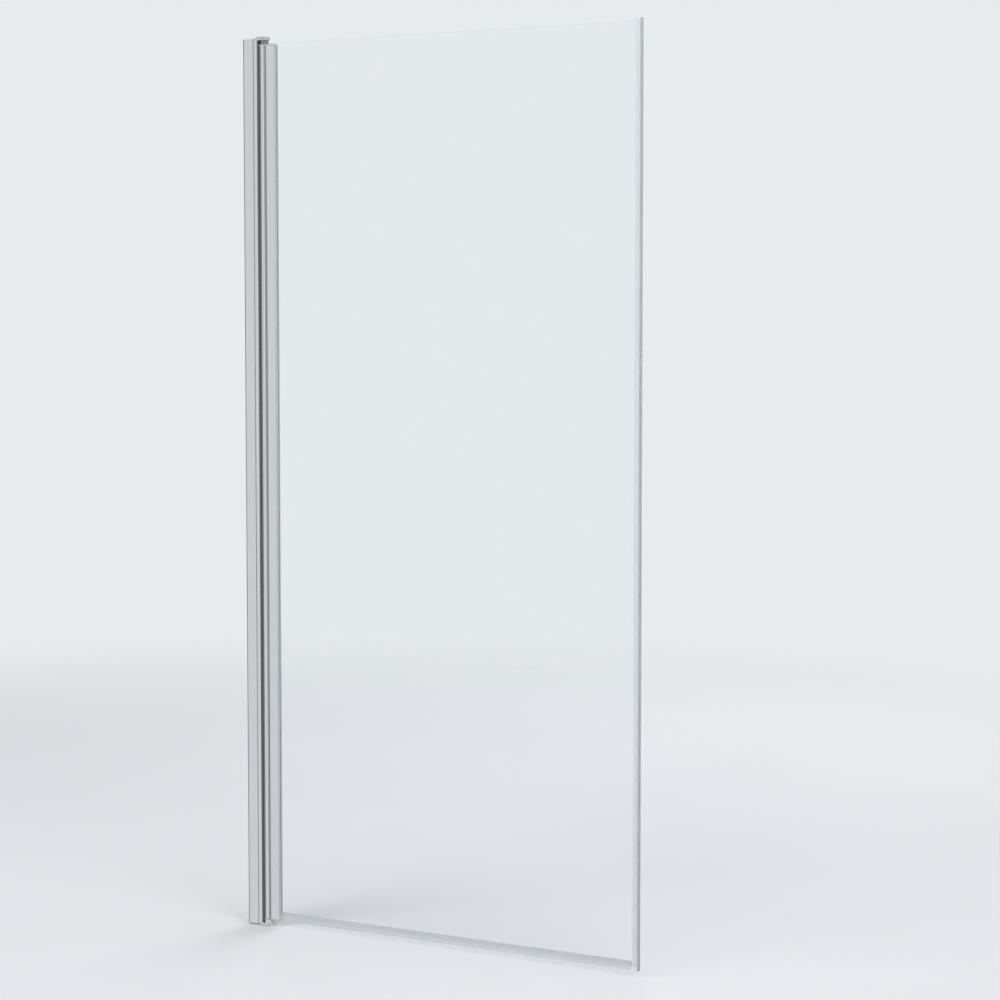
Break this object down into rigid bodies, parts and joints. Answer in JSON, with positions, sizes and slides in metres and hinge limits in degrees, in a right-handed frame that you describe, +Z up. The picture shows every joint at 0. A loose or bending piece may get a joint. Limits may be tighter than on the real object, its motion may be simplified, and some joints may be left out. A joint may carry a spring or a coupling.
{
  "type": "shower door",
  "caption": "Frameless hinged glass shower door on a wall channel, with a rising pivot hinge, bottom wiper and edge seal.",
  "frame": {"origin": "on the wall plane, in the middle plane of the closed glass, at the foot of the door", "axes": "+X from the wall to the free edge, +Y into the shower, +Z up; the door opens outwards, towards -Y"},
  "size_m": [0.9, 0.0274, 1.9],
  "materials": {
    "anodised_aluminium": "polished and anodised",
    "chromed_zinc": "chromed die-casting",
    "stainless_steel": "turned or pressed stainless steel",
    "dark_rubber": "matt extruded rubber",
    "white_acetal": "moulded acetal",
    "grey_plastic": "moulded grey plastic",
    "clear_vinyl": "extruded clear vinyl",
    "clear_glass": "toughened clear float glass",
    "magnet_rubber": "ferrite-filled rubber"
  },
  "bodies": {
    "wall_frame": {"wall_channel": "anodised_aluminium", "hinge_post": "anodised_aluminium", "post_gasket": "dark_rubber", "post_fixing_screws": "stainless_steel", "screw_cover_caps": "grey_plastic", "top_bracket": "chromed_zinc", "bottom_bracket": "chromed_zinc", "top_bracket_screws": "stainless_steel", "bottom_bracket_screws": "stainless_steel", "top_bush": "white_acetal", "bottom_bush": "white_acetal", "top_recess_cap": "grey_plastic", "bottom_recess_cap": "grey_plastic", "lower_cam": "white_acetal", "lower_cam_dowels": "stainless_steel"},
    "pivot_pins": {"top_pivot_pin": "stainless_steel", "bottom_pivot_pin": "stainless_steel", "top_pin_clip": "stainless_steel", "bottom_pin_clip": "stainless_steel"},
    "door": {"pivot_profile": "anodised_aluminium", "profile_top_cap": "grey_plastic", "profile_bottom_cap": "grey_plastic", "upper_cam": "white_acetal", "top_insert": "white_acetal", "insert_grub_screws": "stainless_steel", "glass_panel": "clear_glass", "inside_glazing_gasket": "dark_rubber", "outside_glazing_gasket": "dark_rubber", "glass_setting_block": "white_acetal", "bottom_seal": "clear_vinyl", "edge_seal": "clear_vinyl", "magnet_strip": "magnet_rubber"}
  },
  "joints": [
    {"name": "door_swing", "type": "hinge", "parent": "wall_frame", "child": "pivot_pins", "pos_m": [0.046, 0, 0], "axis": [0, 0, -1], "range_deg": [0, 90]},
    {"name": "door_rise", "type": "slide", "parent": "pivot_pins", "child": "door", "axis": [0, 0, 1], "range_m": [0, 0.005]}
  ],
  "couplings": [
    {"joint": "door_rise", "follows": "door_swing", "m_per_rad": 0.003183}
  ]
}
